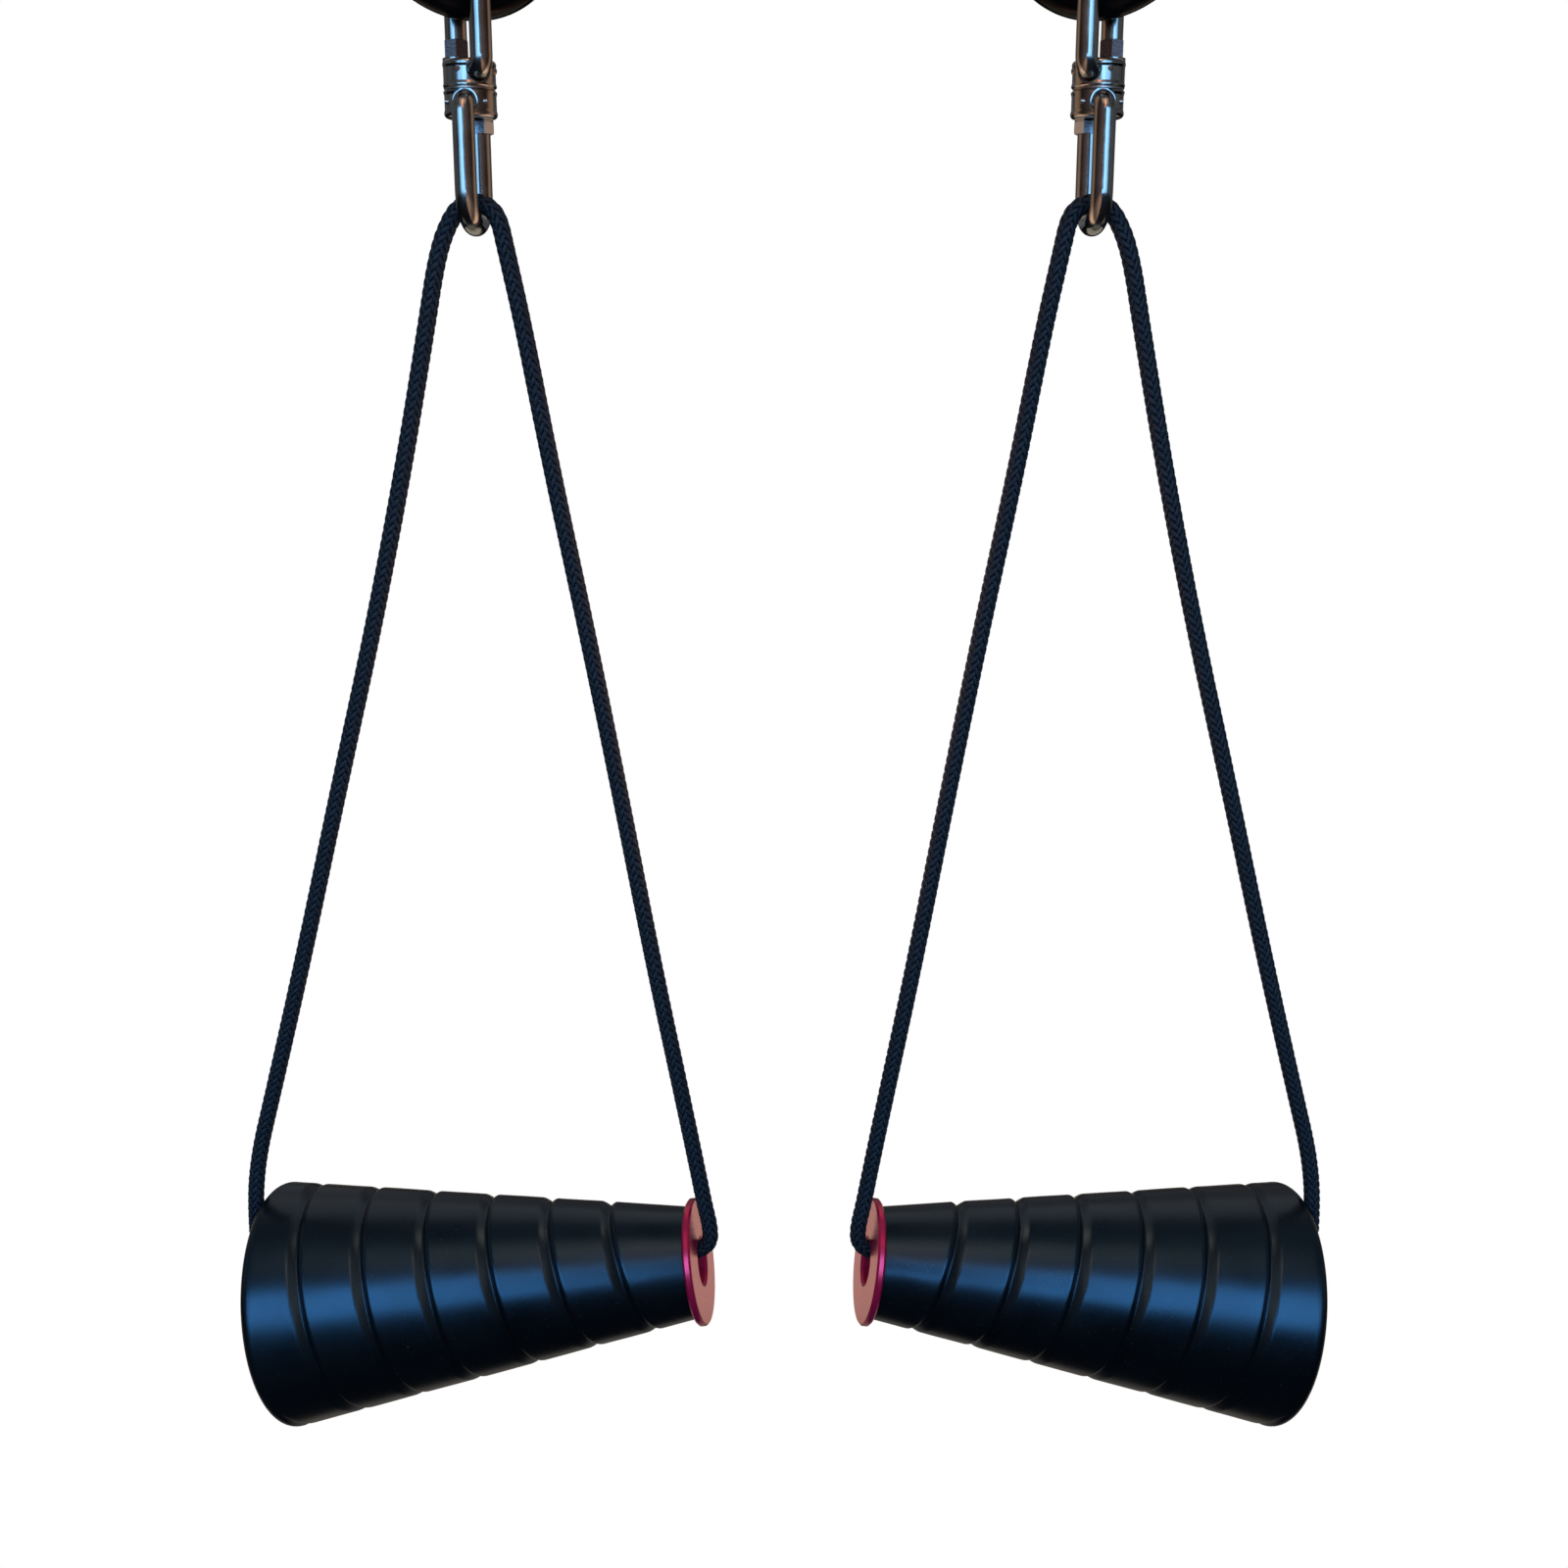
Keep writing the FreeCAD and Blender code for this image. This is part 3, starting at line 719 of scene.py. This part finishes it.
def add_knot(hand, yarn):
    """Barrel of five wrapped turns round the cord's joined ends."""
    sides = 10
    line, t = knot_line(28)
    normal, binormal = frames_along(line)
    taper = np.clip(np.minimum(t, 1 - t) * 60, 0.15, 1)[:, None, None]
    wraps = tube_points(line, normal, binormal, KNOT_WRAP_RADIUS * taper, sides)
    points = np.concatenate([wraps, knot_rod(sides)])
    faces = grid_faces(len(line), sides) + grid_faces(2, sides, start=len(wraps))
    around = np.tile(2 * math.pi * np.arange(sides) / sides, len(line))
    uvs = np.stack([np.repeat(t * 60, sides), around], 1)
    uvs = np.concatenate([uvs, np.zeros((2 * sides, 2))])
    knot = add_mesh(hand + "_barrel_knot", in_place(points, hand), faces, uvs)
    knot.data.materials.append(yarn)
    # the knot's turns are painted unshaded
    set_painted_lightness(knot, np.full(len(points), 0.7))
    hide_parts(hand + "_knot")
    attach(knot, hand + "_cord_loop")
    return knot


# ---- sleeve ---------------------------------------------------------------------------------
GROOVE_PITCH = 19.05 * MM
GROOVE_AT_TOP = 13.0 * MM  # along the cone, where the first turn crosses its back top
GROOVE_TOP_ANGLE = math.radians(-27.0)
GROOVE_START = math.radians(-215.0)
GROOVE_END = math.radians(5.9 * 360.0)
GROOVE_WALLS = (2.9 * MM, 2.0 * MM)  # widths of its walls, on the large and small side
GROOVE_DEPTH = 1.4 * MM
GROOVE_LEAN = 2.4 * MM  # how much further along each turn lies underneath than on top
SLEEVE_WALL = 1.6 * MM
SLEEVE_EDGE = 3.4 * MM
LIP_INNER_RADIUS = 33.2 * MM
SLEEVE_COLUMNS = 240
SLEEVE_ROWS = 400
SLEEVE_SLOPE = (SMALL_RADIUS - LARGE_RADIUS) / BODY_LENGTH
GROOVE_FADE = 0.5  # radians over which each end of the groove runs out
GROOVE_SHARPNESS = 1.5
RIPPLE = 0.03 * MM
RIPPLES = 6


def cone_radius(along):
    return LARGE_RADIUS + SLEEVE_SLOPE * along


def groove_dip(along, angle):
    """How far the surface lies below the plain cone; angle grows down the front."""
    turn = angle - GROOVE_TOP_ANGLE
    upright = along - GROOVE_LEAN * (1 - np.cos(angle)) / 2
    exact = (upright - GROOVE_AT_TOP) / GROOVE_PITCH * 2 * math.pi
    whole = np.round((exact - turn) / (2 * math.pi))
    dip = np.zeros_like(exact)
    for shift in (-1, 0, 1):
        swept = turn + (whole + shift) * 2 * math.pi
        off = upright - GROOVE_AT_TOP - GROOVE_PITCH * swept / (2 * math.pi)
        wall = np.where(off < 0, GROOVE_WALLS[0], GROOVE_WALLS[1])
        fade_in = np.clip((swept - GROOVE_START) / GROOVE_FADE, 0, 1)
        fade_out = np.clip((GROOVE_END - swept) / GROOVE_FADE, 0, 1)
        bowl = np.clip(1 - np.abs(off) / wall, 0, 1) ** GROOVE_SHARPNESS
        dip = dip + fade_in * fade_out * GROOVE_DEPTH * bowl
    return dip


def sleeve_profile():
    """Radius and place along the cone of each row, and the rows that the outside lies between."""
    profile = [
        (LIP_INNER_RADIUS, SLEEVE_WALL),
        (LIP_INNER_RADIUS, 0.35 * MM),
        (LIP_INNER_RADIUS + 0.35 * MM, 0.0),
    ]
    lean = math.atan(-SLEEVE_SLOPE)
    rim = LARGE_RADIUS + SLEEVE_SLOPE * SLEEVE_EDGE - SLEEVE_EDGE / math.cos(lean)
    profile.append((0.5 * (rim + LIP_INNER_RADIUS), 0.0))
    for step in range(11):
        a = (math.pi / 2 + lean) * step / 10
        profile.append((rim + SLEEVE_EDGE * math.sin(a), SLEEVE_EDGE * (1 - math.cos(a))))
    edge_end = profile[-1][1]
    first = len(profile)
    for along in np.linspace(edge_end, BODY_LENGTH - 0.3 * MM, SLEEVE_ROWS)[1:]:
        profile.append((cone_radius(along), along))
    small_end = BODY_LENGTH - 0.02 * MM
    profile.append((cone_radius(BODY_LENGTH) - 0.3 * MM, small_end))
    last = len(profile)
    profile.append((cone_radius(BODY_LENGTH) - SLEEVE_WALL, small_end))
    for along in np.linspace(BODY_LENGTH - 5 * MM, SLEEVE_WALL, 8):
        profile.append((cone_radius(along) - SLEEVE_WALL, along))
    return profile, first, last


def add_sleeve(hand, skin):
    """The rubber skin: outside with its groove, rounded rim, rolled lip and inside."""
    rng = np.random.default_rng(7)
    wave = rng.uniform(0, 2 * math.pi, RIPPLES)
    angle = 2 * math.pi * np.arange(SLEEVE_COLUMNS) / SLEEVE_COLUMNS
    outward = np.cos(angle)[:, None] * np.array(ACROSS) - np.sin(angle)[:, None] * np.array(BACK)
    profile, first, last = sleeve_profile()
    rows = []
    for row, (radius, along) in enumerate(profile):
        reach = np.full(SLEEVE_COLUMNS, radius)
        if first <= row < last:
            ripple = sum(
                np.sin((k + 2) * angle + wave[k] + along / MM * 0.05 * (k + 1))
                for k in range(RIPPLES)
            )
            dip = groove_dip(np.full(SLEEVE_COLUMNS, along), angle)
            reach = reach - dip + RIPPLE * ripple / 2
        rows.append(np.array(LARGE_END) + np.array(AXIS) * along + reach[:, None] * outward)
    points = in_place(np.concatenate(rows), hand)
    faces = grid_faces(len(rows), SLEEVE_COLUMNS, flip=hand == "left")
    start = (len(rows) - 1) * SLEEVE_COLUMNS
    for j in range(SLEEVE_COLUMNS):
        k = (j + 1) % SLEEVE_COLUMNS
        quad = (start + j, start + k, k, j)
        faces.append(quad[::-1] if hand == "left" else quad)
    sleeve = add_mesh(hand + "_grooved_sleeve", points, faces)
    sleeve.data.materials.append(skin)
    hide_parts(hand + "_sleeve")
    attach(sleeve, hand + "_grip")
    return sleeve


# ---- build ------------------------------------------------------------------------------------
def paint_node(name, material):
    mesh = NODES[name].data
    mesh.materials.clear()
    mesh.materials.append(material)


def cad_finishes():
    """Material of each CAD node that keeps its own mesh, apart from the bushes."""
    steel = polished_steel()
    enamel = ring_paint()
    nut = zinc()
    dark = dark_nut()
    pin = pin_steel()
    plastic = core_plastic()
    return {
        "ring": enamel,
        "upper_bow": steel,
        "upper_collar": steel,
        "upper_nut": dark,
        "upper_cross_pin": pin,
        "swivel_rivet": pin,
        "swivel_washer": pin,
        "lower_collar": steel,
        "lower_bow": steel,
        "lower_nut": nut,
        "lower_cross_pin": pin,
        "core": plastic,
        "end_plug": plastic,
    }


def declare_cord(hand, line):
    exit_point = in_place([on_cone(*CORD_EXIT)], hand)[0]
    length = float(np.linalg.norm(np.diff(line, axis=0), axis=1).sum())
    print(hand, "cord centre line", round(length, 4))


def main():
    bpy.context.scene.view_settings.view_transform = "Standard"
    add_camera()
    add_lights()
    add_world()
    add_floor()
    add_cards()
    finishes = cad_finishes()
    skin = rubber()
    yarn = cord_yarn()
    for hand in HANDS:
        red = anodised(hand)
        for node, material in finishes.items():
            paint_node(hand + "_" + node, material)
        for bush in ("small_bush", "large_bush"):
            paint_node(hand + "_" + bush, red)
        add_sleeve(hand, skin)
        knot = add_knot(hand, yarn)
        cord, line = add_cord(hand, yarn)
        declare_cord(hand, line)


main()
